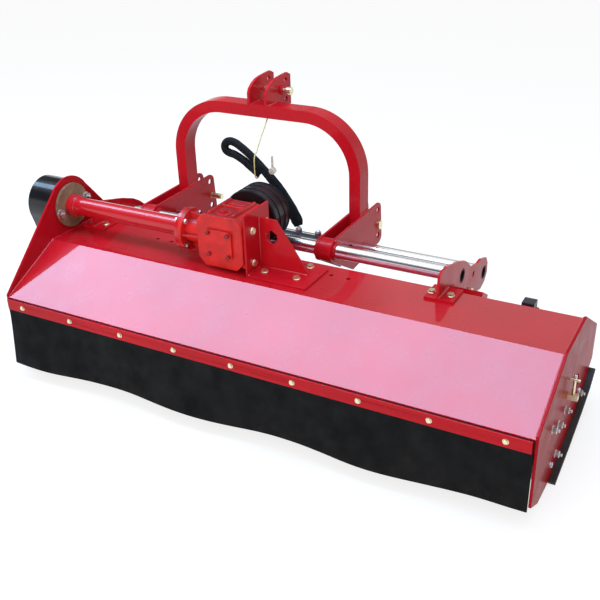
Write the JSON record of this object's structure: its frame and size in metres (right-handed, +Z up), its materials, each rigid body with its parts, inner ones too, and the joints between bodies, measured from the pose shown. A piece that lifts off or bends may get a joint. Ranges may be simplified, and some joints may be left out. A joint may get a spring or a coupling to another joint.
{
  "type": "flail mower",
  "caption": "Red tractor flail mower with a rubber rear flap, bevel gearbox and drive tube, belt cover and a hitch frame that shifts sideways on chromed bars",
  "frame": {"origin": "on the ground, under the middle of the outline seen from above", "axes": "+X runs across the mower towards its right side seen from behind, +Y points forward to the tractor, +Z is up"},
  "size_m": [1.904, 1.011, 0.85],
  "materials": {
    "red_paint": "glossy enamel",
    "gearbox_paint": "gloss over a casting",
    "black_rubber": "matt",
    "yellow_zinc": "yellow passivated zinc",
    "bright_zinc": "clear zinc",
    "chrome": "polished",
    "black_plastic": "satin",
    "black_paint": "satin",
    "tan_casting": "primed casting",
    "bearing_iron": "painted casting",
    "machined_steel": "machined",
    "forged_steel": "forged",
    "hose_sleeve": "woven nylon sleeve",
    "cord_fibre": "twisted fibre"
  },
  "bodies": {
    "deck": {"deck_shell": "red_paint", "left_side_plate": "red_paint", "right_side_plate": "red_paint", "flap_strips": "red_paint", "left_bar_bracket": "red_paint", "right_bar_bracket": "red_paint", "gearbox_bracket": "red_paint", "drive_tube": "red_paint", "stand_socket": "red_paint", "gearbox_housing": "gearbox_paint", "gearbox_cover": "gearbox_paint", "rear_flap": "black_rubber", "front_flap": "black_rubber", "drive_belts": "black_rubber", "strip_bolts": "yellow_zinc", "bracket_bolts": "yellow_zinc", "breather_plug": "yellow_zinc", "gearbox_bolts": "yellow_zinc", "height_screw": "yellow_zinc", "stand_screw": "yellow_zinc", "gearbox_screws": "bright_zinc", "bearing_bolts": "bright_zinc", "plate_bolts": "bright_zinc", "rear_bar": "chrome", "front_bar": "chrome", "cylinder_rod": "chrome", "pto_guard": "black_plastic", "belt_cover": "black_plastic", "left_skid": "black_paint", "right_skid": "black_paint", "bearing_flange": "tan_casting", "rotor_bearings": "bearing_iron", "roller_bearings": "bearing_iron", "shaft_bearings": "machined_steel"},
    "input": {"input_shaft": "machined_steel", "input_gear": "machined_steel"},
    "drive": {"drive_shaft": "machined_steel", "output_gear": "machined_steel", "drive_pulley": "bearing_iron"},
    "rotor": {"rotor": "forged_steel", "rotor_pulley": "bearing_iron"},
    "hammer_row_1": {"hammers_row_1": "forged_steel"},
    "hammer_row_2": {"hammers_row_2": "forged_steel"},
    "hammer_row_3": {"hammers_row_3": "forged_steel"},
    "hammer_row_4": {"hammers_row_4": "forged_steel"},
    "roller": {"rear_roller": "red_paint"},
    "right_stand": {"right_parking_stand": "black_paint"},
    "left_stand": {"left_parking_stand": "black_paint"},
    "hitch_frame": {"arch_frame": "red_paint", "left_hitch_plates": "red_paint", "right_hitch_plates": "red_paint", "slide_bushes": "red_paint", "top_link_plates": "red_paint", "top_link_pin": "yellow_zinc", "lower_link_pins": "bright_zinc", "cylinder_barrel": "black_paint", "hose_fittings": "bright_zinc", "hose_bundle": "hose_sleeve", "hose_coupler": "yellow_zinc", "tie_cord": "cord_fibre"}
  },
  "joints": [
    {"name": "frame_slide", "type": "slide", "parent": "deck", "child": "hitch_frame", "axis": [1, 0, 0], "range_m": [-0.04, 0.3]},
    {"name": "rotor_turn", "type": "hinge", "parent": "deck", "child": "rotor", "pos_m": [0, -0.03746, 0.186], "axis": [1, 0, 0], "continuous": true},
    {"name": "drive_turn", "type": "hinge", "parent": "deck", "child": "drive", "pos_m": [-0.6, -0.11246, 0.472], "axis": [1, 0, 0], "continuous": true},
    {"name": "pto_turn", "type": "hinge", "parent": "deck", "child": "input", "pos_m": [-0.191, -0.11246, 0.472], "axis": [0, 1, 0], "continuous": true},
    {"name": "hammer_row_1_swing", "type": "hinge", "parent": "rotor", "child": "hammer_row_1", "pos_m": [0, 0.02971, 0.25317], "axis": [1, 0, 0], "range_deg": [0, 270]},
    {"name": "hammer_row_2_swing", "type": "hinge", "parent": "rotor", "child": "hammer_row_2", "pos_m": [0, -0.10464, 0.25317], "axis": [1, 0, 0], "range_deg": [-270, 0]},
    {"name": "hammer_row_3_swing", "type": "hinge", "parent": "rotor", "child": "hammer_row_3", "pos_m": [0, -0.10464, 0.11883], "axis": [1, 0, 0], "range_deg": [-180, 90]},
    {"name": "hammer_row_4_swing", "type": "hinge", "parent": "rotor", "child": "hammer_row_4", "pos_m": [0, 0.02971, 0.11883], "axis": [1, 0, 0], "range_deg": [-90, 180]},
    {"name": "roller_turn", "type": "hinge", "parent": "deck", "child": "roller", "pos_m": [0, -0.25446, 0.07], "axis": [1, 0, 0], "continuous": true},
    {"name": "right_stand_slide", "type": "slide", "parent": "deck", "child": "right_stand", "axis": [0, 0, 1], "range_m": [0, 0.17]},
    {"name": "left_stand_slide", "type": "slide", "parent": "deck", "child": "left_stand", "axis": [0, 0, 1], "range_m": [0, 0.17]}
  ],
  "couplings": [
    {"joint": "drive_turn", "follows": "rotor_turn", "ratio": 0.88571},
    {"joint": "pto_turn", "follows": "rotor_turn", "ratio": 0.29524}
  ]
}
